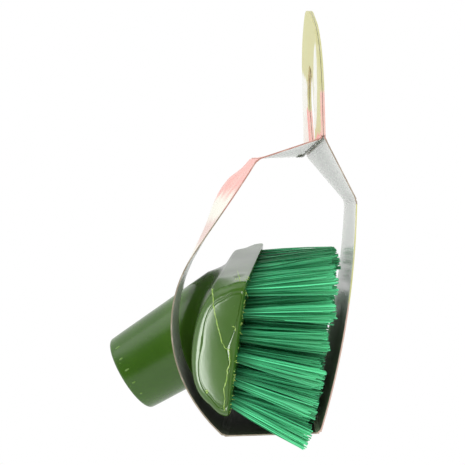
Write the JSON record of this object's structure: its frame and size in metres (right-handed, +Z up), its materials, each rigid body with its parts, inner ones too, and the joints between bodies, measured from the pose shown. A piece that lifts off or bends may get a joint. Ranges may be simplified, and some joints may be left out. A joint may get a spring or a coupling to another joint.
{
  "type": "brush head in hang sleeve",
  "caption": "Moulded sweeping brush head with an angled handle socket and rows of bristle tufts, held in a folded paperboard sleeve whose header has a hang slot.",
  "frame": {"origin": "where a peg through the header bears in the top of the hang slot, at the front leaf", "axes": "+Z up, +X the way the bristles point and the peg sticks out, +Y along the brush"},
  "size_m": [0.0992, 0.1229, 0.1691],
  "materials": {
    "moulded_plastic": "olive green, satin moulded",
    "bristle": "emerald green filament",
    "anchor_wire": "flat drawn wire",
    "sleeve_board": "folding paperboard, printed and coated outside, coated grey-white inside",
    "header_board": "folding paperboard with a yellow-green print"
  },
  "bodies": {
    "header_back": {"header_back_leaf": "header_board"},
    "back_roof": {"back_roof_panel": "sleeve_board"},
    "back": {"back_panel": "sleeve_board"},
    "floor": {"floor_panel": "sleeve_board"},
    "front": {"front_panel": "sleeve_board"},
    "front_roof": {"front_roof_panel": "sleeve_board"},
    "header_front": {"header_front_leaf": "header_board"},
    "brush": {"brush_head": "moulded_plastic", "tuft_row_1": "bristle", "tuft_row_2": "bristle", "tuft_row_3": "bristle", "tuft_row_4": "bristle", "tuft_row_5": "bristle", "tuft_row_6": "bristle", "anchor_row_1": "anchor_wire", "anchor_row_2": "anchor_wire", "anchor_row_3": "anchor_wire", "anchor_row_4": "anchor_wire", "anchor_row_5": "anchor_wire", "anchor_row_6": "anchor_wire"}
  },
  "joints": [
    {"name": "back_roof_fold", "type": "hinge", "parent": "header_back", "child": "back_roof", "pos_m": [0.00005, 0, -0.033], "axis": [0, 1, 0], "range_deg": [0, 30]},
    {"name": "shoulder_fold", "type": "hinge", "parent": "back_roof", "child": "back", "pos_m": [-0.0231, -0.047, -0.0407], "axis": [-0.0095, 0.9974, 0.0711], "range_deg": [0, 40]},
    {"name": "heel_fold", "type": "hinge", "parent": "back", "child": "floor", "pos_m": [-0.0352, -0.047, -0.1395], "axis": [0.0393, 0.9992, 0], "range_deg": [0, 45]},
    {"name": "toe_fold", "type": "hinge", "parent": "floor", "child": "front", "pos_m": [-0.0006, -0.047, -0.1384], "axis": [0.0393, 0.9992, 0], "range_deg": [0, 110]},
    {"name": "brow_fold", "type": "hinge", "parent": "front", "child": "front_roof", "pos_m": [0.0123, -0.047, -0.0552], "axis": [0.0573, 0.998, 0.0276], "range_deg": [0, 60]},
    {"name": "header_front_fold", "type": "hinge", "parent": "front_roof", "child": "header_front", "pos_m": [0.00095, 0, -0.033], "axis": [0, 1, 0], "range_deg": [0, 75]},
    {"name": "brush_slide", "type": "slide", "parent": "back", "child": "brush", "axis": [0.8416, -0.1259, 0.5252], "range_m": [0, 0.038]}
  ],
  "couplings": [
    {"joint": "toe_fold", "follows": "brush_slide", "rad_per_m": 50}
  ]
}
